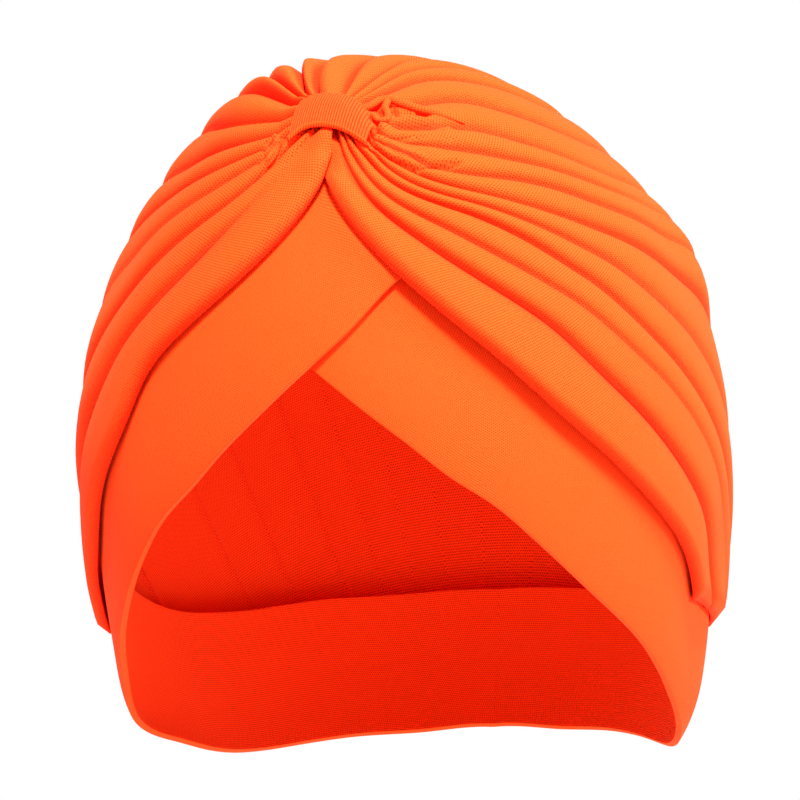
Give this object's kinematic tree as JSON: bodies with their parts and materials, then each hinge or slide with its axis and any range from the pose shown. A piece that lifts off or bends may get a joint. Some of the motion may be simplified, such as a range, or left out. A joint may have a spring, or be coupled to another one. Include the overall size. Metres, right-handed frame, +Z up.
{
  "type": "turban hat",
  "caption": "Knitted jersey turban hat in its worn form: pleated crown gathered above the front by a ribbed loop, on wide bands that cross below it and meet at the back.",
  "frame": {"origin": "middle of the hollow, level with the brow, where a head holds the hat up", "axes": "+Z up, -Y out of the front, +X to the right seen from the front"},
  "size_m": [0.1753, 0.2144, 0.1995],
  "materials": {
    "crown": "matte",
    "band_over": "matte",
    "band_under": "matte",
    "gather_loop": "matte"
  },
  "bodies": {
    "root": {"crown": "crown", "band_over": "band_over", "band_under": "band_under", "gather_loop": "gather_loop"}
  },
  "joints": []
}
